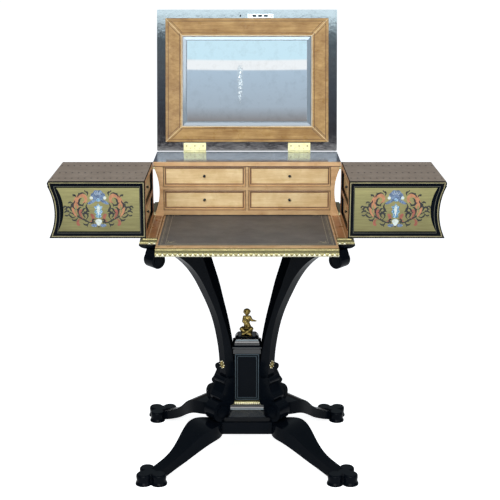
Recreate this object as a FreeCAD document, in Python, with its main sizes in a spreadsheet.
import FreeCAD, Part

import math
import os

import Sketcher

# A lady's writing desk: an ebonised casket on four scroll legs. A leaning lid with a mirror stands
# behind a nest of four drawers, two boxes swing on pins at the nest's front corners, and a leather
# lined slide draws out between them.
#
# Axes: X to the right, Y to the back, Z up. The floor is Z = 0 and the origin is under the middle of
# the whole desk as it stands open. All lengths are millimetres and all angles are degrees.

SIZES = {
    # The casket, and how far its middle lies behind the middle of the stand
    "case_width": 572,
    "case_depth": 446,
    "case_offset": 5,
    "nest_depth": 169,
    # Heights above the floor
    "base_lift": 88,
    "base_height": 39,
    "console_height": 135,
    "leg_height": 453,
    "frame_height": 31,
    "nest_height": 168,
    # Plan angle of the four uprights, from the X axis
    "leg_angle": 40,
    # Feet
    "foot_root_reach": 121.5,
    "foot_root_width": 54,
    "foot_shoulder_width": 101,
    "foot_pad_reach": 381,
    "pad_height": 33,
    "lobe_radius": 22,
    "lobe_flare": 3,
    "lobe_spread": 30,
    "lobe_forward": 21,
    "lobe_back": 13,
    # Plinth: shaft, stepped moulding at its foot, gilt bead, collar and cap
    "shaft_width": 79,
    "shaft_depth": 76,
    "plinth_riser": 6,
    "plinth_step": 3,
    "plinth_slope_height": 18,
    "plinth_cove_height": 14,
    "plinth_foot_overhang": 37,
    "plinth_slope_overhang": 17,
    "plinth_cove_overhang": 12,
    "bead_overhang": 13,
    "bead_height": 10,
    "shaft_height": 156,
    "collar_height": 14,
    "collar_overhang": 3,
    "neck_height": 4,
    "neck_inset": 1,
    "cap_height": 33,
    "cap_lip": 4,
    "cap_overhang": 5,
    "cap_step_inset": 1,
    "cap_top_inset": 14,
    "figure_height": 82,
    # Scroll consoles under the legs
    "console_thickness": 48,
    "console_inner_reach": 56,
    "barrel_reach": 118,
    "barrel_radius": 34,
    "barrel_eye_radius": 17,
    "console_eye_proud": 2.5,
    "lip_roll_radius": 9,
    "lip_roll_forward": 1,
    "top_roll_reach": 101,
    "top_roll_radius": 11.5,
    "top_roll_drop": 5,
    # Legs
    "leg_inner_reach": 62,
    "leg_spread": 284,
    "leg_thin": 28,
    "leg_thick": 42,
    "volute_radius": 23,
    "volute_eye_radius": 8,
    "volute_groove_width": 3,
    "volute_groove_depth": 2,
    "rosette_rise": 43,
    "rosette_height": 30,
    "rosette_width": 23,
    "rosette_depth": 5,
    # Frame under the casket
    "rail_width": 30,
    "back_rail_width": 22,
    "strip_thickness": 2,
    "cushion_height": 16,
    "cushion_underset": 6,
    "moulding_projection": 22,
    "gilt_height": 17,
    "bottom_board_thickness": 7,
    "runner_width": 30,
    # Writing slide
    "slide_thickness": 14,
    "leather_thickness": 2,
    "slide_length": 420,
    "slide_travel": 102,
    "slide_side_gap": 1.5,
    "slide_clearance": 0.3,
    "lipping_width": 24,
    "side_lipping_width": 5,
    "slide_moulding_height": 21,
    "slide_moulding_drop": 1,
    # Casket walls, tops and hollow sides
    "box_lift": 2.6,
    "side_thickness": 30,
    "side_hollow": 18,
    "top_thickness": 14,
    "top_nose": 4,
    "floor_thickness": 15.4,
    "shelf_thickness": 12.5,
    "lower_opening_height": 61,
    "divider_thickness": 10,
    "nest_back_thickness": 10,
    # Swinging boxes
    "box_width": 277,
    "box_front_thickness": 14,
    "box_gap": 0.8,
    "panel_thickness": 2,
    "panel_outer_inset": 26,
    "panel_inner_inset": 17,
    "panel_margin": 5,
    # Drawers
    "drawer_recess": 9,
    "drawer_front_thickness": 10,
    "drawer_wall": 6,
    "drawer_floor": 4,
    "drawer_side_gap": 0.7,
    "drawer_under_gap": 0.3,
    "drawer_rim_drop": 8,
    "nest_drawer_length": 146,
    "box_drawer_length": 222,
    "knob_length": 8,
    "knob_radius": 4.5,
    "knob_stem_radius": 2.2,
    # Pin pivots of the boxes
    "plate_thickness": 3,
    "plate_running_gap": 0.3,
    "plate_eye_radius": 6,
    "plate_tail": 28,
    "plate_width": 12,
    "pivot_pin_radius": 2,
    "pin_clearance": 0.05,
    "pivot_inset": 4,
    "eye_clearance": 0.5,
    # Lid with its mirror
    "lid_thickness": 46,
    "lid_lean": 13.8,
    "lid_gap": 0.6,
    "lid_board_thickness": 12,
    "rim_width": 27,
    "splay_width": 53,
    "splay_set_back": 2,
    "splay_lip": 2.5,
    "mirror_thickness": 4,
    "mirror_lap": 3,
    "mirror_bevel": 14,
    "mirror_edge": 2.5,
    # Lid hinges and lock plate
    "hinge_width": 71,
    "hinge_spacing": 332,
    "hinge_leaf": 24,
    "leaf_thickness": 2.5,
    "knuckle_radius": 3.4,
    "hinge_set_back": 3.8,
    "hinge_pin_radius": 1.2,
    "knuckle_gap": 0.3,
    "lock_plate_width": 82,
    "lock_plate_height": 13,
    "lock_plate_thickness": 1.5,
    "lock_plate_offset": 43,
    "lock_plate_drop": 13.4,
    "lock_slot_width": 12,
    "lock_slot_height": 5,
    "lock_slot_spacing": 18,
    # How far a cutting shape runs past what it cuts
    "overrun": 20,
}

KNUCKLES = 3
LOCK_SLOTS = 3
ROSETTE_PETALS = 8

doc = FreeCAD.newDocument("writing_desk")


def make_sheet():
    """The spreadsheet of driving sizes, one alias a row."""
    table = doc.addObject("Spreadsheet::Sheet", "Sizes")
    for row, (alias, value) in enumerate(SIZES.items(), start=1):
        table.set("A%d" % row, alias)
        table.set("B%d" % row, str(value))
        table.setAlias("B%d" % row, alias)
    doc.recompute()
    return table


sheet = make_sheet()


class Term:
    """A size as a number and as the sheet expression that gives it."""

    def __init__(self, value, text):
        self.value = float(value)
        self.text = text

    def __add__(self, other):
        other = as_term(other)
        return Term(self.value + other.value, "(%s + %s)" % (self.text, other.text))

    def __sub__(self, other):
        other = as_term(other)
        return Term(self.value - other.value, "(%s - %s)" % (self.text, other.text))

    def __mul__(self, other):
        other = as_term(other)
        return Term(self.value * other.value, "(%s * %s)" % (self.text, other.text))

    def __truediv__(self, other):
        other = as_term(other)
        return Term(self.value / other.value, "(%s / %s)" % (self.text, other.text))

    def __neg__(self):
        return Term(-self.value, "(-1 * %s)" % self.text)

    __radd__ = __add__
    __rmul__ = __mul__


def as_term(size):
    """A plain count or share as a term."""
    return size if isinstance(size, Term) else Term(size, "(%r)" % float(size))


class Sheet:
    """Reads each driving size of the sheet as a term."""

    def __getattr__(self, alias):
        return Term(sheet.get(alias), "Sizes." + alias)


S = Sheet()
ZERO = as_term(0)


def sine(angle):
    return Term(math.sin(math.radians(angle.value)), "sin(%s)" % angle.text)


def cosine(angle):
    return Term(math.cos(math.radians(angle.value)), "cos(%s)" % angle.text)


# Heights and places that several sub-parts share
base_top = S.base_lift + S.base_height
console_top = base_top + S.console_height
frame_bottom = console_top + S.leg_height
frame_top = frame_bottom + S.frame_height
box_bottom = frame_top + S.box_lift
case_top = frame_top + S.nest_height
under_top = case_top - S.top_thickness
floor_top = box_bottom + S.floor_thickness
shelf_bottom = floor_top + S.lower_opening_height
shelf_top = shelf_bottom + S.shelf_thickness
half_case = S.case_width / 2
inner_half = half_case - S.side_thickness

lid_reach = (S.hinge_set_back + (S.case_depth + S.hinge_set_back) * sine(S.lid_lean)
             + (S.lid_thickness + S.lid_gap / 2) * cosine(S.lid_lean))
stand_y = (S.slide_travel + S.moulding_projection - lid_reach) / 2 - S.case_offset
case_front = stand_y + S.case_offset - S.case_depth / 2
case_back = case_front + S.case_depth
nest_front = case_back - S.nest_depth

SIDES = (("left", -1), ("right", 1))
CORNERS = (("front_left", -1, -1), ("front_right", 1, -1), ("back_left", -1, 1), ("back_right", 1, 1))
pieces = {}


def keep(node, item):
    """Names a finished sub-part and lists it for writing."""
    item.Label = node
    pieces[node] = item
    return item


def bind(item, path, size):
    """Ties one property to the sheet."""
    item.setExpression(path, as_term(size).text)


def move(item, x=None, y=None, z=None):
    """Ties an item's place to the sheet, on the axes that are given."""
    for axis, size in (("x", x), ("y", y), ("z", z)):
        if size is not None:
            bind(item, "Placement.Base." + axis, size)
    return item


def sided(side, near, far):
    """The span from near to far on one side of the middle, low end first."""
    return (near, far) if side > 0 else (-far, -near)


def block(name, x, y, z):
    """A rectangular solid between two planes on each axis."""
    box = doc.addObject("Part::Box", name)
    for edge, (low, high) in (("Length", x), ("Width", y), ("Height", z)):
        bind(box, edge, high - low)
    return move(box, x[0], y[0], z[0])


def rod(name, radius, low, high, x, y):
    """An upright cylinder from low to high."""
    cylinder = doc.addObject("Part::Cylinder", name)
    bind(cylinder, "Radius", radius)
    bind(cylinder, "Height", high - low)
    return move(cylinder, x, y, low)


def cross_rod(name, radius, low, high, y, z):
    """A cylinder along X from low to high."""
    cylinder = doc.addObject("Part::Cylinder", name)
    cylinder.Placement = FreeCAD.Placement(FreeCAD.Vector(), FreeCAD.Rotation(FreeCAD.Vector(0, 1, 0), 90))
    bind(cylinder, "Radius", radius)
    bind(cylinder, "Height", high - low)
    return move(cylinder, low, y, z)


def cut(name, base, *tools):
    """The base with every tool taken away."""
    for number, tool in enumerate(tools, start=1):
        last = number == len(tools)
        step = doc.addObject("Part::Cut", name if last else "%s_cut_%d" % (name, number))
        step.Base = base
        step.Tool = tool
        base = step
    return base


def common(name, first, second):
    """What two solids share."""
    item = doc.addObject("Part::Common", name)
    item.Base = first
    item.Tool = second
    return item


def fuse(name, *parts):
    """Solids joined into one."""
    item = doc.addObject("Part::MultiFuse", name)
    item.Shapes = list(parts)
    return item


def group(name, *parts):
    """Separate solids that share one node."""
    item = doc.addObject("Part::Compound", name)
    item.Links = list(parts)
    return item


def pin_point(sketch, number, end, point):
    """Ties one point of a sketch to the sheet, from the sketch's origin."""
    for axis, size in zip(("DistanceX", "DistanceY"), point):
        size = as_term(size)
        rule = sketch.addConstraint(Sketcher.Constraint(axis, -1, 1, number, end, size.value))
        sketch.setExpression("Constraints[%d]" % rule, size.text)


def flat(point):
    """A point of an outline as a vector in the sketch's plane."""
    return FreeCAD.Vector(as_term(point[0]).value, as_term(point[1]).value, 0)


def draw(sketch, outline):
    """Closes an outline of corners. A corner may carry the point that an arc to the next one passes."""
    ends = []
    for place, entry in enumerate(outline):
        start = flat(entry)
        stop = flat(outline[(place + 1) % len(outline)])
        lead = 1
        if len(entry) == 3:
            middle = flat(entry[2])
            number = sketch.addGeometry(Part.Arc(start, middle, stop))
            turn = (middle - start).cross(stop - middle).z
            lead = 1 if turn > 0 else 2
            spot = sketch.addGeometry(Part.Point(middle), True)
            pin_point(sketch, spot, 1, entry[2])
            sketch.addConstraint(Sketcher.Constraint("PointOnObject", spot, 1, number))
        else:
            number = sketch.addGeometry(Part.LineSegment(start, stop))
        pin_point(sketch, number, lead, entry)
        ends.append((number, lead))
    for place, (number, lead) in enumerate(ends):
        following, leading = ends[(place + 1) % len(ends)]
        sketch.addConstraint(Sketcher.Constraint("Coincident", number, 3 - lead, following, leading))


def sketched(name, plane, outline):
    """A body with one closed sketch on one of its own origin planes."""
    body = doc.addObject("PartDesign::Body", name)
    sketch = body.newObject("Sketcher::SketchObject", name + "_outline")
    support = [feature for feature in body.Origin.OriginFeatures if feature.Role == plane][0]
    sketch.AttachmentSupport = [(support, "")]
    sketch.MapMode = "FlatFace"
    draw(sketch, outline)
    return body, sketch


def prism(name, plane, outline, low, high):
    """An outline drawn in one plane and padded from low to high along the third axis."""
    body, sketch = sketched(name, plane, outline)
    pad = body.newObject("PartDesign::Pad", name + "_pad")
    pad.Profile = sketch
    bind(pad, "Length", high - low)
    axis, start = {"XY_Plane": ("z", low), "XZ_Plane": ("y", high), "YZ_Plane": ("x", low)}[plane]
    bind(body, "Placement.Base." + axis, start)
    return body


def turned(name, outline):
    """A half outline in the XZ plane, revolved about Z."""
    body, sketch = sketched(name, "XZ_Plane", outline)
    spin = body.newObject("PartDesign::Revolution", name + "_turn")
    spin.Profile = sketch
    spin.ReferenceAxis = (sketch, ["V_Axis"])
    spin.Angle = 360
    return body


def mirrored_outline(section, half):
    """A section of (overhang, height) corners as a closed outline, the same on both sides."""
    right = [moved_corner(entry, half, 1) for entry in section]
    left = []
    for place in range(len(section) - 1, -1, -1):
        corner = section[place][:2]
        arc = section[place - 1][2:] if place > 0 else ()
        left.append(moved_corner(corner + arc, half, -1))
    return right + left


def moved_corner(entry, half, side):
    """One corner of a section, set out from the middle to one side."""
    corner = ((half + entry[0]) * side, entry[1])
    if len(entry) == 3:
        corner += (((half + entry[2][0]) * side, entry[2][1]),)
    return corner


def square_turning(name, section, half_width, half_depth, middle):
    """A mitred moulding round a rectangle: two prisms of one section, crossed."""
    reach = half_width + half_depth
    across = prism(name + "_across", "XZ_Plane", mirrored_outline(section, half_width), -reach, reach)
    along = prism(name + "_along", "YZ_Plane", mirrored_outline(section, half_depth), -reach, reach)
    item = common(name, across, along)
    return move(item, y=middle)


# Smooth boards that are cut to a curved template, and other free forms


def vector(x, y, z):
    return FreeCAD.Vector(as_term(x).value, as_term(y).value, as_term(z).value)


def smooth(points):
    """One smooth edge through a row of points."""
    curve = Part.BSplineCurve()
    curve.interpolate(points)
    return curve.toShape()


def closed_face(*rows):
    """A face inside rows of points: a row of two is a straight edge, a longer one is smooth."""
    edges = [smooth(row) if len(row) > 2 else Part.makeLine(*row) for row in rows]
    return Part.Face(Part.Wire(edges))


def thick(face, thickness):
    """A face in the XZ plane made into a board, half its thickness to each side."""
    half = as_term(thickness).value / 2
    board = face.extrude(FreeCAD.Vector(0, 2 * half, 0))
    board.translate(FreeCAD.Vector(0, -half, 0))
    return board


def drum(x, z, radius, length):
    """A cylinder along Y, centred on the board's plane."""
    half = as_term(length).value / 2
    axis = FreeCAD.Vector(0, 1, 0)
    return Part.makeCylinder(as_term(radius).value, 2 * half, vector(x, ZERO, z) - axis * half, axis)


def free_form(name, shape, turn=ZERO, lift=ZERO):
    """A shape made here from the sheet's sizes, turned about the stand's middle and lifted."""
    item = doc.addObject("Part::Feature", name)
    item.Shape = shape
    upright = FreeCAD.Vector(0, 0, 1)
    item.Placement = FreeCAD.Placement(vector(ZERO, stand_y, lift), FreeCAD.Rotation(upright, turn.value))
    return item


def corner_turn(side, depth):
    """The plan turn that points a piece drawn along +X to one corner of the desk."""
    turn = S.leg_angle * (side * depth)
    return turn if side > 0 else turn + 180


# Stand: base block, feet, plinth


def build_base():
    """An eight-sided block whose four slanted faces carry the feet."""
    reach = S.foot_root_reach
    half = S.foot_root_width / 2
    near_side = (reach * cosine(S.leg_angle) + half * sine(S.leg_angle),
                 reach * sine(S.leg_angle) - half * cosine(S.leg_angle))
    near_front = (reach * cosine(S.leg_angle) - half * sine(S.leg_angle),
                  reach * sine(S.leg_angle) + half * cosine(S.leg_angle))
    outline = [near_side, near_front]
    outline += [(-x, y) for x, y in (near_front, near_side)]
    outline += [(-x, -y) for x, y in (near_side, near_front)]
    outline += [(x, -y) for x, y in (near_front, near_side)]
    base = prism("base_block", "XY_Plane", outline, S.base_lift, base_top)
    keep("base_block", move(base, y=stand_y))


# Each row: share of the way from the root to the pad, share of the base's top or underside, and share
# of the shoulder's width
FOOT_TOP_SHARES = ((0.11, 1.02), (0.225, 1.02), (0.341, 0.937), (0.457, 0.756), (0.572, 0.567),
                   (0.688, 0.425), (0.842, 0.291), (0.965, 0.2))
FOOT_UNDER_SHARES = ((0.11, 0.99), (0.225, 0.96), (0.341, 0.818), (0.457, 0.614), (0.572, 0.409),
                     (0.688, 0.25), (0.842, 0.091), (0.965, 0.02))
FOOT_WIDTH_SHARES = ((0.11, 0.89), (0.225, 1.0), (0.341, 0.9), (0.457, 0.713), (0.572, 0.535),
                     (0.688, 0.426), (0.842, 0.42), (0.965, 0.38))


def foot_shape():
    """One splayed foot along +X: a wide shoulder, an S-shaped fall and a flat pad of three lobes."""
    root = S.foot_root_reach
    way = S.foot_pad_reach - root
    top = [vector(root, ZERO, base_top)]
    top += [vector(root + way * along, ZERO, base_top * up) for along, up in FOOT_TOP_SHARES]
    under = [vector(root, ZERO, S.base_lift)]
    under += [vector(root + way * along, ZERO, S.base_lift * up) for along, up in FOOT_UNDER_SHARES]
    side = closed_face(top, [top[-1], under[-1]], under[::-1], [under[0], top[0]])
    half = S.foot_shoulder_width / 2
    left = [vector(root, S.foot_root_width / 2, ZERO)]
    left += [vector(root + way * along, half * share, ZERO) for along, share in FOOT_WIDTH_SHARES]
    right = [FreeCAD.Vector(point.x, -point.y, 0) for point in left]
    plan = closed_face(left, [left[-1], right[-1]], right[::-1], [right[0], left[0]])
    high = (base_top + S.pad_height).value
    foot = thick(side, S.foot_shoulder_width * 2).common(plan.extrude(FreeCAD.Vector(0, 0, high)))
    places = ((ZERO, ZERO), (S.lobe_forward, ZERO), (-S.lobe_back, S.lobe_spread), (-S.lobe_back, -S.lobe_spread))
    for forward, spread in places:
        lobe = lobe_shape()
        lobe.translate(vector(S.foot_pad_reach + forward, spread, ZERO))
        foot = foot.fuse(lobe)
    return foot.removeSplitter()


# Each row: share of the lobe's radius, share of the pad's height
LOBE_SHARES = ((1.0, 0.3), (1.01, 0.6), (1.0, 0.88), (0.92, 0.97), (0.8, 1.0))


def lobe_shape():
    """One lobe of the pad: a low drum with a rounded upper edge and a flared sole."""
    sole = S.lobe_radius + S.lobe_flare
    rise = S.lobe_flare
    bun = [vector(S.lobe_radius * out, ZERO, S.pad_height * up) for out, up in LOBE_SHARES]
    start = [vector(ZERO, ZERO, ZERO), vector(sole, ZERO, ZERO)]
    riser = [vector(sole, ZERO, ZERO), vector(sole, ZERO, rise)]
    slope = [vector(sole, ZERO, rise), bun[0]]
    close = [bun[-1], vector(ZERO, ZERO, S.pad_height)]
    back = [vector(ZERO, ZERO, S.pad_height), vector(ZERO, ZERO, ZERO)]
    half = closed_face(start, riser, slope, bun, close, back)
    return half.revolve(FreeCAD.Vector(0, 0, 0), FreeCAD.Vector(0, 0, 1), 360)


def build_feet():
    for name, side, depth in CORNERS:
        node = "foot_" + name
        keep(node, free_form(node, foot_shape(), corner_turn(side, depth)))


moulding_top = base_top + S.plinth_riser + S.plinth_slope_height + S.plinth_cove_height
bead_top = moulding_top + S.bead_height
shaft_top = bead_top + S.shaft_height
collar_top = shaft_top + S.collar_height
neck_top = collar_top + S.neck_height
cap_top = neck_top + S.cap_height


def moulding_section():
    """The stepped pyramid at the plinth's foot: a riser, a slope and a hollow."""
    riser_top = base_top + S.plinth_riser
    slope_top = riser_top + S.plinth_slope_height
    foot = S.plinth_foot_overhang
    hollow = ((S.plinth_slope_overhang + S.plinth_cove_overhang * 3) / 4, (slope_top + moulding_top) / 2)
    return [(foot, base_top), (foot, riser_top), (foot - S.plinth_step, riser_top),
            (S.plinth_slope_overhang, slope_top, hollow), (S.plinth_cove_overhang, moulding_top)]


def build_plinth():
    """The column that bears the figure, in five pieces one on the other."""
    half_width = S.shaft_width / 2
    half_depth = S.shaft_depth / 2
    bulge = (S.bead_overhang, (moulding_top + bead_top) / 2)
    bead_root = S.plinth_cove_overhang - S.neck_inset
    bead = [(bead_root, moulding_top, bulge), (bead_root, bead_top)]
    shaft = [(ZERO, bead_top), (ZERO, shaft_top)]
    step = neck_top + S.cap_lip * 2
    swell = (-(S.cap_step_inset + S.cap_top_inset) / 2 + S.cap_lip, (step + cap_top) / 2)
    cap = [(S.collar_overhang, shaft_top), (S.collar_overhang, collar_top),
           (-S.neck_inset, collar_top), (-S.neck_inset, neck_top), (S.cap_overhang, neck_top),
           (S.cap_overhang, neck_top + S.cap_lip), (-S.cap_step_inset, step, swell), (-S.cap_top_inset, cap_top)]
    for node, section in (("plinth_moulding", moulding_section()), ("plinth_bead", bead),
                          ("plinth_shaft", shaft), ("plinth_cap", cap)):
        keep(node, square_turning(node, section, half_width, half_depth, stand_y))


def ball(x, y, z, *radii):
    """A ball, drawn out to three radii where they differ."""
    sizes = [as_term(radius).value for radius in radii] * (3 if len(radii) == 1 else 1)
    shape = Part.makeSphere(1)
    stretch = FreeCAD.Matrix()
    stretch.scale(*sizes)
    shape = shape.transformGeometry(stretch)
    shape.translate(FreeCAD.Vector(x, y, z))
    return shape


def limb(start, end, start_radius, end_radius):
    """A tapering limb with round ends."""
    way = end - start
    shape = Part.makeCone(start_radius, end_radius, way.Length, start, way)
    for centre, radius in ((start, start_radius), (end, end_radius)):
        shape = shape.fuse(Part.makeSphere(radius, centre))
    return shape


# Places and sizes of the figure's body as shares of its height: x, y, z and three radii
TORSO_SHARES = ((-0.05, 0.0, 0.15, 0.16, 0.14, 0.17), (-0.05, 0.01, 0.33, 0.12, 0.1, 0.2),
                (-0.05, 0.0, 0.55, 0.13, 0.085, 0.12), (-0.07, -0.01, 0.87, 0.1, 0.105, 0.12),
                (-0.07, 0.01, 0.91, 0.11, 0.11, 0.09))
# Limbs: start x, y, z, end x, y, z, start radius, end radius
LIMB_SHARES = ((-0.12, -0.03, 0.14, -0.24, -0.17, 0.2, 0.085, 0.06),
               (-0.24, -0.17, 0.2, -0.16, -0.2, 0.04, 0.055, 0.035),
               (0.03, -0.03, 0.14, 0.08, -0.19, 0.22, 0.085, 0.06),
               (0.08, -0.19, 0.22, -0.12, -0.25, 0.13, 0.055, 0.035),
               (0.06, 0.0, 0.62, 0.15, -0.03, 0.5, 0.05, 0.04),
               (0.15, -0.03, 0.5, 0.25, -0.07, 0.54, 0.038, 0.028),
               (-0.16, 0.0, 0.62, -0.22, -0.03, 0.44, 0.05, 0.038),
               (-0.22, -0.03, 0.44, -0.1, -0.13, 0.34, 0.038, 0.028),
               (-0.06, 0.0, 0.64, -0.07, 0.0, 0.8, 0.05, 0.045))


def build_figure():
    """A small seated child, one leg crossed over the other and one arm held out."""
    tall = S.figure_height.value
    shape = None
    for shares in TORSO_SHARES:
        x, y, z, wide, deep, high = [share * tall for share in shares]
        lump = ball(x, y, z, wide, deep, high)
        shape = lump if shape is None else shape.fuse(lump)
    for shares in LIMB_SHARES:
        x, y, z, end_x, end_y, end_z, first, last = [share * tall for share in shares]
        shape = shape.fuse(limb(FreeCAD.Vector(x, y, z), FreeCAD.Vector(end_x, end_y, end_z), first, last))
    floor = Part.makeBox(tall, tall, tall, FreeCAD.Vector(-tall / 2, -tall / 2, 0))
    keep("finial_figure", free_form("finial_figure", shape.common(floor), lift=cap_top))


# Uprights: scroll consoles and legs

# Shares of the leg's spread and of its height
LEG_OUTER_SHARES = ((0.12, 0.0), (0.13, 0.084), (0.139, 0.163), (0.173, 0.304), (0.24, 0.459),
                    (0.363, 0.63), (0.485, 0.765), (0.593, 0.849), (0.683, 0.9), (0.803, 0.945), (0.926, 0.949))
LEG_INNER_SHARES = ((0.592, 1.0), (0.429, 0.858), (0.345, 0.731), (0.246, 0.593), (0.172, 0.463),
                    (0.094, 0.321), (0.034, 0.175), (0.009, 0.08), (0.0, 0.0))
# Where the leg starts and ends its taper, as shares of its height
LEG_TAPER_SHARES = (0.17, 0.945)
VOLUTE_RISE_SHARE = 0.9316
# The nose over the volute, as shares of the volute's radius out from its centre and up
NOSE_SHARES = ((0.87, 0.43), (0.52, 0.0))


def leg_point(shares):
    along, up = shares
    return vector(S.leg_inner_reach + S.leg_spread * along, ZERO, console_top + S.leg_height * up)


def leg_shape():
    """One leg along +X: a curved tapering board that ends in a volute under the frame."""
    outer = [leg_point(shares) for shares in LEG_OUTER_SHARES]
    inner = [leg_point(shares) for shares in LEG_INNER_SHARES]
    eye_x = S.leg_inner_reach + S.leg_spread
    eye_z = console_top + S.leg_height * VOLUTE_RISE_SHARE
    eye = vector(eye_x, ZERO, eye_z)
    nose = vector(eye_x + S.volute_radius * NOSE_SHARES[0][0], ZERO, eye_z + S.volute_radius * NOSE_SHARES[0][1])
    tip = vector(eye_x + S.volute_radius * NOSE_SHARES[1][0], ZERO, frame_bottom)
    face = closed_face(outer, [outer[-1], eye], [eye, nose], [nose, tip], [tip, inner[0]], inner,
                       [inner[-1], outer[0]])
    board = thick(face, S.leg_thick).fuse(drum(eye_x, eye_z, S.volute_radius, S.leg_thick))
    groove_outer = S.volute_radius - S.volute_groove_width * 2
    board = ring_groove(board, eye_x, eye_z, groove_outer, S.volute_groove_width, S.leg_thick, S.volute_groove_depth)
    board = board.common(taper_shape())
    eye_boss = drum(eye_x, eye_z, S.volute_eye_radius, S.leg_thick + S.volute_groove_depth)
    return board.fuse(eye_boss).removeSplitter()


def ring_groove(board, x, z, outer, width, thickness, depth):
    """Cuts a ring into both faces of a board, round a scroll's eye."""
    inner = outer - width
    floor = thickness - depth * 2
    ring = drum(x, z, outer, thickness * 2).cut(drum(x, z, inner, thickness * 3))
    return board.cut(ring.cut(drum(x, z, outer * 2, floor)))


def taper_shape():
    """A slab that is thinner low down, to give the leg its taper."""
    low, high = [console_top + S.leg_height * share for share in LEG_TAPER_SHARES]
    thin = S.leg_thin / 2
    wide = S.leg_thick / 2
    corners = [(thin, console_top), (thin, low), (wide, high), (wide, frame_bottom)]
    corners += [(-y, z) for y, z in reversed(corners)]
    points = [vector(ZERO, y, z) for y, z in corners]
    face = Part.Face(Part.makePolygon(points + points[:1]))
    return face.extrude(vector(S.leg_inner_reach + S.leg_spread * 2, ZERO, ZERO))


# The console's face between its two upper rolls, as shares of the barrel's reach and of its height
CONSOLE_FACE_SHARES = ((1.045, 0.65), (0.99, 0.72), (0.94, 0.81), (0.89, 0.9), (0.856, 1.0))
LIP_RISE_SHARE = 0.585
WAIST_RISE_SHARE = 0.53


def console_shape():
    """One console along +X: a block with a large barrel scroll, a lip roll and a small top roll."""
    inner = S.console_inner_reach
    front = S.barrel_reach
    lip = vector(front + S.lip_roll_forward, ZERO, base_top + S.console_height * LIP_RISE_SHARE)
    waist = vector(front, ZERO, base_top + S.console_height * WAIST_RISE_SHARE)
    curve = [vector(front * along, ZERO, base_top + S.console_height * up) for along, up in CONSOLE_FACE_SHARES]
    corners = [vector(inner, ZERO, console_top), vector(inner, ZERO, base_top), vector(front, ZERO, base_top)]
    face = closed_face(curve, [curve[-1], corners[0]], [corners[0], corners[1]], [corners[1], corners[2]],
                       [corners[2], waist], [waist, lip], [lip, curve[0]])
    barrel_z = base_top + S.barrel_radius
    wide = S.console_thickness
    shape = thick(face, wide).fuse(drum(front, barrel_z, S.barrel_radius, wide))
    shape = shape.fuse(drum(front + S.lip_roll_forward, base_top + S.console_height * LIP_RISE_SHARE,
                            S.lip_roll_radius, wide))
    shape = shape.fuse(drum(S.top_roll_reach, console_top - S.top_roll_drop, S.top_roll_radius, wide))
    shape = ring_groove(shape, front, barrel_z, S.barrel_eye_radius + S.volute_groove_width * 2,
                        S.volute_groove_width, wide, S.volute_groove_depth)
    eyes = ((front, barrel_z, S.barrel_eye_radius), (front, barrel_z, S.barrel_eye_radius / 2),
            (S.top_roll_reach, console_top - S.top_roll_drop, S.top_roll_radius / 2))
    for number, (x, z, radius) in enumerate(eyes):
        proud = S.console_eye_proud * (2 if number == 1 else 1)
        shape = shape.fuse(drum(x, z, radius, wide + proud))
    return shape.removeSplitter()


def build_uprights():
    """Four legs, each housed in its console, and the consoles trimmed along the plinth's sides."""
    trim_section = moulding_section() + [
        (S.bead_overhang, moulding_top), (S.bead_overhang, bead_top),
        (ZERO, bead_top), (ZERO, console_top + S.overrun)]
    outline = mirrored_outline(trim_section, S.shaft_width / 2)
    reach = S.barrel_reach + S.barrel_radius
    trim = move(prism("plinth_trim", "XZ_Plane", outline, -reach, reach), y=stand_y + reach)
    rosettes = []
    for name, side, depth in CORNERS:
        turn = corner_turn(side, depth)
        leg = keep("leg_" + name, free_form("leg_" + name, leg_shape(), turn))
        console = free_form("console_blank_" + name, console_shape(), turn)
        keep("console_" + name, cut("console_" + name, console, trim, leg))
        rosette = free_form("rosette_blank_" + name, rosette_shape(), turn)
        rosettes.append(cut("rosette_" + name, rosette, leg))
    keep("leg_rosettes", group("leg_rosettes", *rosettes))


def rosette_shape():
    """A gilt oval flower on the leg's outer edge, with petals round a boss."""
    reach = (S.leg_inner_reach + S.leg_spread * LEG_OUTER_SHARES[1][0]).value
    rise = (console_top + S.rosette_rise).value
    wide = (S.rosette_width / 2).value
    tall = (S.rosette_height / 2).value
    deep = S.rosette_depth.value
    shape = ball(reach, 0, rise, deep, wide * 2 / 3, tall * 2 / 3)
    for petal in range(ROSETTE_PETALS):
        angle = 2 * math.pi * petal / ROSETTE_PETALS
        side = wide * 2 / 3 * math.sin(angle)
        up = tall * 2 / 3 * math.cos(angle)
        shape = shape.fuse(ball(reach, side, rise + up, deep * 2 / 3, wide / 3, tall / 3))
    return shape


# Frame under the casket


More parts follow.
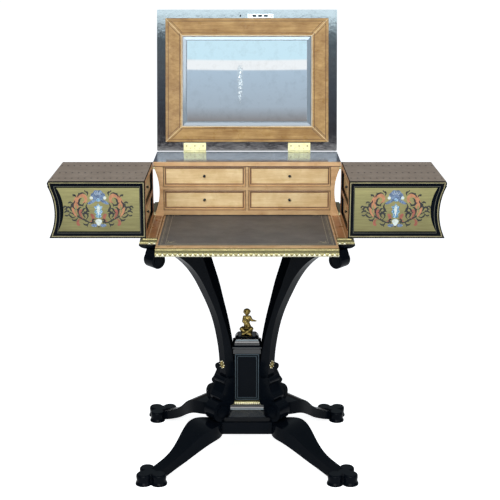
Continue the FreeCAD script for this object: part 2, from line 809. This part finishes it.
def build_frame():
    """Four rails with a cushion-shaped outer face, a bottom board with runners, strips and gilt."""
    middle = stand_y + S.case_offset
    half_depth = S.case_depth / 2
    cushion_top = frame_bottom + S.cushion_height
    strip_bottom = frame_top - S.strip_thickness
    swell = (S.moulding_projection * 7 / 10, (frame_bottom + cushion_top) / 2)
    cushion_section = [(-S.cushion_underset, frame_bottom, swell), (S.moulding_projection, cushion_top)]
    cushion = square_turning("frame_cushion", cushion_section, half_case, half_depth, middle)
    upper = block("frame_upper", (-half_case, half_case), (case_front, case_back), (cushion_top, strip_bottom))
    ring = fuse("frame_ring", cushion, upper)
    well_front = case_front + S.back_rail_width
    well_back = case_back - S.back_rail_width
    well = block("frame_well", (-inner_half, inner_half), (well_front, well_back),
                 (frame_bottom - S.overrun, frame_top + S.overrun))
    slide_bottom = frame_top - S.leather_thickness - S.slide_thickness
    mouth = block("slide_mouth", (-inner_half, inner_half), (case_front - S.overrun * 2, well_front),
                  (slide_bottom - S.slide_clearance, frame_top + S.overrun))
    slide_moulding_bottom = frame_top - S.slide_moulding_drop - S.slide_moulding_height
    rebate = block("moulding_rebate", (-inner_half, inner_half), (case_front - S.overrun * 2, case_front),
                   (slide_moulding_bottom - S.slide_clearance, frame_top + S.overrun))
    keep("frame_rails", cut("frame_rails", ring, well, mouth, rebate))
    build_frame_inside(well_front, well_back, slide_bottom)
    strips = [block("strip_" + name, sided(side, inner_half, half_case), (case_front, case_back),
                    (strip_bottom, frame_top)) for name, side in SIDES]
    keep("frame_side_strips", group("frame_side_strips", *strips))
    build_frame_gilt(middle, half_depth, cushion_top)


def build_frame_inside(well_front, well_back, slide_bottom):
    """The board that closes the frame below, and the two runners that the slide moves on."""
    board = block("bottom_board", (-inner_half, inner_half), (well_front, well_back),
                  (frame_bottom, frame_bottom + S.bottom_board_thickness))
    runners = [block("runner_" + name, sided(side, inner_half - S.runner_width, inner_half),
                     (well_front, well_back),
                     (frame_bottom + S.bottom_board_thickness, slide_bottom - S.slide_clearance))
               for name, side in SIDES]
    keep("frame_bottom_board", group("frame_bottom_board", board, *runners))


def build_frame_gilt(middle, half_depth, low):
    """A gilt moulding round the back, the sides and the two front corners."""
    high = low + S.gilt_height
    out = S.moulding_projection
    section = [(out * 3 / 5, low, (out * 9 / 10, low + S.gilt_height / 6)),
               (out, low + S.gilt_height / 3), (out, low + S.gilt_height * 3 / 4,
                                                (out * 3 / 4, high - S.gilt_height / 16)), (out / 3, high)]
    ring = square_turning("gilt_ring", section, half_case, half_depth, middle)
    core = block("gilt_core", (-half_case, half_case), (case_front, case_back), (low - S.overrun, high + S.overrun))
    mouth = block("gilt_mouth", (-inner_half, inner_half), (case_front - S.overrun * 2, case_front),
                  (low - S.overrun, high + S.overrun))
    keep("frame_gilt_moulding", cut("frame_gilt_moulding", ring, core, mouth))


# Writing slide


def build_slide():
    """A board that draws out on the runners, with leather, a pale lipping and a gilt front."""
    front = case_front - S.slide_travel
    back = front + S.slide_length
    half = inner_half - S.slide_side_gap
    board_top = frame_top - S.leather_thickness
    board = block("writing_slide", (-half, half), (front, back), (board_top - S.slide_thickness, board_top))
    keep("writing_slide", board)
    leather_half = half - S.side_lipping_width
    leather_front = front + S.lipping_width
    leather = block("slide_leather", (-leather_half, leather_half), (leather_front, back), (board_top, frame_top))
    keep("slide_leather", leather)
    corners = [(-half, front), (half, front), (half, back), (leather_half, back), (leather_half, leather_front),
               (-leather_half, leather_front), (-leather_half, back), (-half, back)]
    keep("slide_lipping", prism("slide_lipping", "XY_Plane", corners, board_top, frame_top))
    high = frame_top - S.slide_moulding_drop
    low = high - S.slide_moulding_height
    deep = S.moulding_projection
    tall = S.slide_moulding_height
    section = [(front, low), (front, high), (front - deep / 3, high),
               (front - deep / 2, high - tall / 12, (front - deep * 9 / 10, high - tall / 5)),
               (front - deep, high - tall / 2), (front - deep, low + tall / 4),
               (front - deep * 3 / 4, low)]
    keep("slide_gilt_moulding", prism("slide_gilt_moulding", "YZ_Plane", section, -half, half))


# Nest of drawers


def hollow_side(outer, side, high):
    """The outline of an upright board with one hollow face, in its own plane."""
    inner = outer - S.side_thickness
    dip = ((outer - S.side_hollow) * side, (frame_top + high) / 2)
    return [(inner * side, frame_top), (outer * side, frame_top, dip), (outer * side, high), (inner * side, high)]


def build_nest():
    """The case of the four rear drawers: hollow sides, back, floor, divider, shelves and top."""
    sides = []
    for name, side in SIDES:
        blank = prism("nest_side_blank_" + name, "XZ_Plane", hollow_side(half_case, side, under_top),
                      nest_front, case_back)
        sides.append(cut("nest_side_" + name, blank, *pivot_housings("nest_" + name, side)))
    back = block("nest_back", (-inner_half, inner_half), (case_back - S.nest_back_thickness, case_back),
                 (box_bottom, under_top))
    keep("nest_case", group("nest_case", back, *sides))
    inside_back = case_back - S.nest_back_thickness
    half_divider = S.divider_thickness / 2
    floor = block("nest_floor", (-inner_half, inner_half), (nest_front, inside_back), (box_bottom, floor_top))
    divider = block("nest_divider", (-half_divider, half_divider), (nest_front, inside_back), (floor_top, under_top))
    shelves = [block("nest_shelf_" + name, sided(side, half_divider, inner_half), (nest_front, inside_back),
                     (shelf_bottom, shelf_top)) for name, side in SIDES]
    keep("nest_shelves", group("nest_shelves", floor, divider, *shelves))
    top = block("nest_top_blank", (-half_case, half_case), (nest_front, case_back), (under_top, case_top))
    leaves = [block("leaf_bed_" + name, hinge_span(side), (case_back - S.hinge_leaf, case_back + S.overrun),
                    (case_top - S.leaf_thickness, case_top + S.overrun)) for name, side in SIDES]
    keep("nest_top", cut("nest_top", top, *leaves))


def drawer_levels():
    """The two drawer openings, one above the other."""
    return (("lower", floor_top, shelf_bottom), ("upper", shelf_top, under_top))


def tray(name, x, y, z, opens):
    """A drawer open at the top, with its front to one side: 'y' to the front, or a sign along X."""
    side_gap = S.drawer_side_gap
    low = z[0] + S.drawer_under_gap
    high = z[1] - side_gap
    outer = block(name + "_blank", x, y, (low, high))
    wall = S.drawer_wall
    front = S.drawer_front_thickness
    hollow_x, hollow_y = (x[0] + wall, x[1] - wall), (y[0] + front, y[1] - wall)
    if opens != "y":
        hollow_x = (x[0] + wall, x[1] - front) if opens > 0 else (x[0] + front, x[1] - wall)
        hollow_y = (y[0] + wall, y[1] - wall)
    inside = block(name + "_inside", hollow_x, hollow_y, (low + S.drawer_floor, high + S.overrun))
    rim_x, rim_y = (x[0] - S.overrun, x[1] + S.overrun), (y[0] + front, y[1] + S.overrun)
    if opens != "y":
        rim_x = (x[0] - S.overrun, x[1] - front) if opens > 0 else (x[0] + front, x[1] + S.overrun)
        rim_y = (y[0] - S.overrun, y[1] + S.overrun)
    rim = block(name + "_rim", rim_x, rim_y, (high - S.drawer_rim_drop, high + S.overrun))
    return cut(name, outer, inside, rim)


def knob(name, direction):
    """A turned knob with a thin stem, pointing along an axis: (0, -1) to the front or (1, 0), (-1, 0)."""
    stem = S.knob_stem_radius
    head = S.knob_radius
    long = S.knob_length
    outline = [(ZERO, ZERO), (stem, ZERO), (stem, long * 2 / 5),
               (head, long * 3 / 5, (head * 4 / 5, long * 7 / 8)), (head / 3, long), (ZERO, long)]
    body = turned(name, outline)
    axis = FreeCAD.Vector(-direction[1], direction[0], 0)
    body.Placement = FreeCAD.Placement(FreeCAD.Vector(), FreeCAD.Rotation(axis, 90))
    return body


def build_nest_drawers():
    """Four drawers in two rows, each with one knob that stays behind the nest's front edge."""
    front = nest_front + S.drawer_recess
    back = front + S.nest_drawer_length
    gap = S.drawer_side_gap
    for side_name, side in SIDES:
        x = sided(side, S.divider_thickness / 2 + gap, inner_half - gap)
        for level, low, high in drawer_levels():
            name = "%s_%s" % (level, side_name)
            keep("nest_drawer_" + name, tray("nest_drawer_" + name, x, (front, back), (low, high), "y"))
            turned_knob = knob("nest_knob_" + name, (0, -1))
            move(turned_knob, (x[0] + x[1]) / 2, front, (low + high) / 2)
            keep("nest_knob_" + name, turned_knob)


# Pin pivots between the nest and the boxes


def pivot_levels():
    """The heights of the two plate pairs: (nest plate, box plate) as spans, upper pair first."""
    thick_plate = S.plate_thickness
    gap = S.plate_running_gap
    high = under_top - S.plate_running_gap * 3
    upper_nest = (high - thick_plate, high)
    upper_box = (upper_nest[0] - gap - thick_plate, upper_nest[0] - gap)
    low = box_bottom + S.pivot_inset - thick_plate + S.plate_running_gap
    lower_nest = (low, low + thick_plate)
    lower_box = (lower_nest[1] + gap, lower_nest[1] + gap + thick_plate)
    return (("upper", upper_nest, upper_box), ("lower", lower_nest, lower_box))


def pivot_place(side):
    """The corner that a box swings about, in plan."""
    return half_case * side, nest_front


def nest_plate_span(side):
    """Plan of the tail that is let into the nest's side."""
    return sided(side, half_case - S.plate_tail, half_case), (nest_front, nest_front + S.plate_width)


def box_plate_span(side):
    """Plan of the tail that is let into the box."""
    x = sided(side, half_case + S.box_gap, half_case + S.plate_width)
    return x, (nest_front - S.plate_tail, nest_front)


def eye_space(name, side, low, high):
    """Room in the wood round the two eyes."""
    x, y = pivot_place(side)
    gap = S.plate_running_gap
    return rod(name, S.plate_eye_radius + S.eye_clearance, low - gap, high + gap, x, y)


def pivot_housings(name, side):
    """What is cut out of the wood for one set of plates and for the turning eyes."""
    plan = nest_plate_span if name.startswith("nest") else box_plate_span
    tools = []
    for level, nest_span, box_span in pivot_levels():
        own = nest_span if name.startswith("nest") else box_span
        low, high = min_max(nest_span, box_span)
        x, y = plan(side)
        tools.append(block("%s_%s_tail_bed" % (name, level), x, y, own))
        tools.append(eye_space("%s_%s_eye_space" % (name, level), side, low, high))
    return tools


def min_max(first, second):
    """The span that covers two spans."""
    low = first[0] if first[0].value < second[0].value else second[0]
    high = first[1] if first[1].value > second[1].value else second[1]
    return low, high


def plate(name, side, plan, span, hole):
    """A flat plate with a round eye over the pivot, and a hole where the pin runs."""
    x, y = pivot_place(side)
    eye = rod(name + "_eye", S.plate_eye_radius, span[0], span[1], x, y)
    tail = block(name + "_tail", plan[0], plan[1], span)
    whole = fuse(name + "_blank" if hole else name, eye, tail)
    if not hole:
        return whole
    bore = rod(name + "_bore", S.pivot_pin_radius + S.pin_clearance, span[0] - S.overrun, span[1] + S.overrun, x, y)
    return cut(name, whole, bore)


def nest_pivot(name, side, nest_span, box_span):
    """A nest plate with the pin that the box plate turns on."""
    x, y = pivot_place(side)
    flat_plate = plate(name + "_plate", side, nest_plate_span(side), nest_span, False)
    low, high = min_max(nest_span, box_span)
    pin = rod(name + "_pin", S.pivot_pin_radius, low, high, x, y)
    return fuse(name, flat_plate, pin)


# Swinging boxes


def box_outlines(side):
    """The box's two hollow outlines: seen from the front, and seen from the side."""
    inner = half_case + S.box_gap
    outer = half_case + S.box_width
    middle = (frame_top + under_top) / 2
    front_view = [(inner * side, box_bottom), (outer * side, box_bottom, ((outer - S.side_hollow) * side, middle)),
                  (outer * side, under_top), (inner * side, under_top)]
    front = box_front(side)
    side_view = [(front, box_bottom), (nest_front, box_bottom, (nest_front - S.side_hollow, middle)),
                 (nest_front, under_top), (front, under_top)]
    return front_view, side_view


def box_front(side):
    """The face that meets the other box when both are closed."""
    return nest_front - half_case + S.box_gap / 2


def build_box(name, side):
    """One box: hollow outer and back walls, a front with its brass panel, a floor, a shelf and a top."""
    front = box_front(side)
    inner = half_case + S.box_gap
    outer = half_case + S.box_width
    front_view, side_view = box_outlines(side)
    form = common(name + "_box_form", prism(name + "_box_front_view", "XZ_Plane", front_view, front, nest_front),
                  prism(name + "_box_side_view", "YZ_Plane", side_view, *sided(side, inner, outer)))
    inside = front + S.box_front_thickness, nest_front - S.side_thickness
    opening_x = sided(side, inner - S.overrun, outer - S.side_thickness)
    openings = [block("%s_box_%s_opening" % (name, level), opening_x, inside, (low, high))
                for level, low, high in drawer_levels()]
    panel_low = floor_top + S.panel_margin
    panel_high = under_top - S.panel_margin
    far = (outer - S.panel_outer_inset) * side
    bow = ((outer - S.panel_outer_inset - S.side_hollow) * side, (panel_low + panel_high) / 2)
    near = (inner + S.panel_inner_inset) * side
    outline = [(near, panel_low), (far, panel_low, bow), (far, panel_high), (near, panel_high)]
    panel = prism(name + "_brass_panel", "XZ_Plane", outline, front, front + S.panel_thickness)
    keep(name + "_brass_panel", panel)
    case = cut(name + "_box_case", form, *openings, panel, *pivot_housings("box_" + name, side))
    keep(name + "_box_case", case)
    build_box_top(name, side, front, inner, outer)
    plates = [plate("%s_box_%s_plate" % (name, level), side, box_plate_span(side), box_span, True)
              for level, nest_span, box_span in pivot_levels()]
    keep(name + "_box_plates", group(name + "_box_plates", *plates))
    build_box_drawers(name, side, inside, inner, outer)


def build_box_top(name, side, front, inner, outer):
    """The box's top board, rounded along its outer edge."""
    nose = S.top_nose
    middle = (under_top + case_top) / 2
    outline = [(inner * side, under_top), ((outer - nose) * side, under_top, (outer * side, middle)),
               ((outer - nose) * side, case_top), (inner * side, case_top)]
    keep(name + "_box_top", prism(name + "_box_top", "XZ_Plane", outline, front, nest_front))


def build_box_drawers(name, side, inside, inner, outer):
    """Two drawers that open towards the middle of the desk."""
    face = inner + S.drawer_recess
    x = sided(side, face, face + S.box_drawer_length)
    y = (inside[0] + S.drawer_side_gap, inside[1] - S.drawer_side_gap)
    for level, low, high in drawer_levels():
        node = "%s_box_drawer_%s" % (name, level)
        keep(node, tray(node, x, y, (low, high), -side))
        node = "%s_box_knob_%s" % (name, level)
        turned_knob = knob(node, (-side, 0))
        move(turned_knob, face * side, (y[0] + y[1]) / 2, (low + high) / 2)
        keep(node, turned_knob)


def build_nest_brass():
    """The brass that stays on the nest: two plates with pins a side, and the lid's lower hinge leaves."""
    items = []
    for name, side in SIDES:
        for level, nest_span, box_span in pivot_levels():
            items.append(nest_pivot("nest_pivot_%s_%s" % (level, name), side, nest_span, box_span))
        items.append(fixed_leaf(name, side))
    keep("nest_hinge_brass", group("nest_hinge_brass", *items))


# Lid: drawn upright with the mirror side at Y = 0 and its lower edge at Z = 0, then leant back

hinge_y = case_back + S.hinge_set_back
hinge_z = case_top + S.lid_gap / 2


def lean(node, item):
    """Sets a lid piece on the hinge line and leans it back."""
    axis_y = -S.lid_gap / 2
    axis_z = -S.hinge_set_back
    set_piece = group(node, item)
    set_piece.Placement = FreeCAD.Placement(FreeCAD.Vector(), FreeCAD.Rotation(FreeCAD.Vector(-1, 0, 0), 30))
    bind(set_piece, "Placement.Rotation.Angle", S.lid_lean)
    move(set_piece, y=hinge_y - (axis_y * cosine(S.lid_lean) + axis_z * sine(S.lid_lean)),
         z=hinge_z - (axis_z * cosine(S.lid_lean) - axis_y * sine(S.lid_lean)))
    return keep(node, set_piece)


def hinge_span(side):
    """Where one hinge lies along X."""
    middle = S.hinge_spacing / 2 * side
    return middle - S.hinge_width / 2, middle + S.hinge_width / 2


def knuckle_span(side, number):
    """Where one knuckle of a hinge lies along X, with a running gap at each inner end."""
    low, high = hinge_span(side)
    step = S.hinge_width / KNUCKLES
    start = low + step * number
    first = start if number == 0 else start + S.knuckle_gap / 2
    last = start + step if number == KNUCKLES - 1 else start + step - S.knuckle_gap / 2
    return first, last


def leaf_with_knuckles(name, side, plate_block, y, z, own, bore):
    """A hinge leaf with its own knuckles, cleared where the other leaf's knuckles turn."""
    spans = [knuckle_span(side, number) for number in range(KNUCKLES)]
    tubes = [cross_rod("%s_knuckle_%d" % (name, number), S.knuckle_radius, *spans[number], y, z) for number in own]
    whole = fuse(name + "_blank", plate_block, *tubes)
    others = [number for number in range(KNUCKLES) if number not in own]
    gap = S.knuckle_gap
    tools = [cross_rod("%s_clearing_%d" % (name, number), S.knuckle_radius + gap,
                       spans[number][0] - gap, spans[number][1] + gap, y, z) for number in others]
    if bore:
        low, high = hinge_span(side)
        tools.append(cross_rod(name + "_bore", S.hinge_pin_radius + S.pin_clearance,
                               low - S.overrun, high + S.overrun, y, z))
    return cut(name + "_leaf", whole, *tools)


def fixed_leaf(name, side):
    """The leaf let into the nest's top, with the middle knuckle and the pin."""
    name = "fixed_leaf_" + name
    bar = block(name + "_bar", hinge_span(side), (case_back - S.hinge_leaf, hinge_y),
                (case_top - S.leaf_thickness, case_top))
    leaf = leaf_with_knuckles(name, side, bar, hinge_y, hinge_z, range(1, KNUCKLES, 2), False)
    pin = cross_rod(name + "_pin", S.hinge_pin_radius, *hinge_span(side), hinge_y, hinge_z)
    return fuse(name, leaf, pin)


def moving_leaf(name, side):
    """The leaf let into the lid's lower rail, with the end knuckles."""
    name = "moving_leaf_" + name
    axis_y = -S.lid_gap / 2
    axis_z = -S.hinge_set_back
    bar = block(name + "_bar", hinge_span(side), (ZERO, S.leaf_thickness), (axis_z, S.hinge_leaf))
    return leaf_with_knuckles(name, side, bar, axis_y, axis_z, range(0, KNUCKLES, 2), True)


def mitred_frame(name, half_width, height, low, width, y):
    """Four rails with mitred corners: (half width, from low to height) outside, width wide."""
    inner_x = half_width - width
    outer_low, outer_high = low, height
    inner_low, inner_high = low + width, height - width
    rails = []
    for place, side in (("left", -1), ("right", 1)):
        corners = [(half_width * side, outer_low), (half_width * side, outer_high),
                   (inner_x * side, inner_high), (inner_x * side, inner_low)]
        rails.append(prism("%s_%s" % (name, place), "XZ_Plane", corners, *y))
    for place, outer_z, inner_z in (("lower", outer_low, inner_low), ("upper", outer_high, inner_high)):
        corners = [(-half_width, outer_z), (half_width, outer_z), (inner_x, inner_z), (-inner_x, inner_z)]
        rails.append(prism("%s_%s" % (name, place), "XZ_Plane", corners, *y))
    return rails


def frustum(name, first, second, y):
    """A solid between two upright rectangles: each is (half width, low, high)."""
    wedge = doc.addObject("Part::Wedge", name)
    low_y, high_y = y
    for path, size in (("Xmin", -first[0]), ("Xmax", first[0]), ("Zmin", first[1]), ("Zmax", first[2]),
                       ("X2min", -second[0]), ("X2max", second[0]), ("Z2min", second[1]), ("Z2max", second[2]),
                       ("Ymin", ZERO), ("Ymax", high_y - low_y)):
        bind(wedge, path, size)
    return move(wedge, y=low_y)


def build_lid():
    """Board, mitred rim, splayed frame, bevelled mirror and brass."""
    long = S.case_depth
    board_front = S.lid_thickness - S.lid_board_thickness
    board = block("lid_board_blank", (-half_case, half_case), (board_front, S.lid_thickness), (ZERO, long))
    lean("lid_board", board)
    rim = group("lid_rim_blank", *mitred_frame("rim", half_case, long, ZERO, S.rim_width, (ZERO, board_front)))
    lock_plate = build_lock_plate(long)
    leaf_beds = [block("lid_leaf_bed_" + name, hinge_span(side), (-S.overrun, S.leaf_thickness),
                       (-S.overrun, S.hinge_leaf)) for name, side in SIDES]
    lock_bed = block("lock_bed", lock_x(), (-S.overrun, S.lock_plate_thickness), lock_z(long))
    lean("lid_rim", cut("lid_rim_cut", rim, *leaf_beds, lock_bed))
    build_mirror(long, board_front)
    fittings = [moving_leaf(name, side) for name, side in SIDES]
    lean("lid_brass_fittings", group("lid_fittings", lock_plate, *fittings))


def lock_x():
    middle = S.lock_plate_offset
    return middle - S.lock_plate_width / 2, middle + S.lock_plate_width / 2


def lock_z(long):
    return long - S.lock_plate_drop - S.lock_plate_height, long - S.lock_plate_drop


def build_lock_plate(long):
    """The striker of the lid's lock: a flat plate with three slots."""
    low, high = lock_z(long)
    blank = block("lock_plate_blank", lock_x(), (ZERO, S.lock_plate_thickness), (low, high))
    slots = []
    for number in range(LOCK_SLOTS):
        middle = S.lock_plate_offset + S.lock_slot_spacing * (number - (LOCK_SLOTS - 1) / 2)
        centre = (low + high) / 2
        slots.append(block("lock_slot_%d" % number,
                           (middle - S.lock_slot_width / 2, middle + S.lock_slot_width / 2),
                           (-S.overrun, S.overrun),
                           (centre - S.lock_slot_height / 2, centre + S.lock_slot_height / 2)))
    return cut("lock_plate", blank, *slots)


def build_mirror(long, board_front):
    """A splayed frame that falls back to a bevelled mirror, held by the frame's rebate."""
    outer = half_case - S.rim_width
    low, high = S.rim_width, long - S.rim_width
    width = S.splay_width
    sight = outer - width
    mirror_front = board_front - S.mirror_thickness
    lip = mirror_front - S.splay_lip
    rails = mitred_frame("splay", outer, high, low, width, (S.splay_set_back, board_front))
    slope = frustum("splay_slope", (outer, low, high), (sight, low + width, high - width), (S.splay_set_back, lip))
    lap = S.mirror_lap
    rebate = block("splay_rebate", (-sight - lap, sight + lap), (mirror_front, board_front + S.overrun),
                   (low + width - lap, high - width + lap))
    frame = cut("splay_cut", group("splay_blank", *rails), slope, rebate)
    lean("lid_splayed_frame", frame)
    glass_half = sight + lap
    glass_low, glass_high = low + width - lap, high - width + lap
    bevel = S.mirror_bevel
    edge = board_front - S.mirror_edge
    plate_glass = block("mirror_plate", (-glass_half, glass_half), (edge, board_front), (glass_low, glass_high))
    face = frustum("mirror_face", (glass_half - bevel, glass_low + bevel, glass_high - bevel),
                   (glass_half, glass_low, glass_high), (mirror_front, edge))
    lean("lid_mirror", fuse("mirror_glass", plate_glass, face))


def check(item, label):
    """Stops the build if an object failed or has no sound shape."""
    if {"Invalid", "Error"} & set(item.State):
        raise RuntimeError("%s failed: %s" % (label, item.State))
    if hasattr(item, "Shape") and label in pieces and (item.Shape.isNull() or not item.Shape.isValid()):
        raise RuntimeError("%s has no sound shape" % label)


def write_parts():
    """Recomputes, checks every object and writes each sub-part to its own file."""
    doc.recompute()
    for item in doc.Objects:
        check(item, item.Label)
    os.makedirs("parts", exist_ok=True)
    for node, item in pieces.items():
        item.Shape.exportStep(os.path.join("parts", node + ".step"))
    print("wrote %d sub-parts" % len(pieces))


build_base()
build_feet()
build_plinth()
build_figure()
build_uprights()
build_frame()
build_slide()
build_nest()
build_nest_drawers()
build_nest_brass()
for box_name, box_side in SIDES:
    build_box(box_name, box_side)
build_lid()
write_parts()
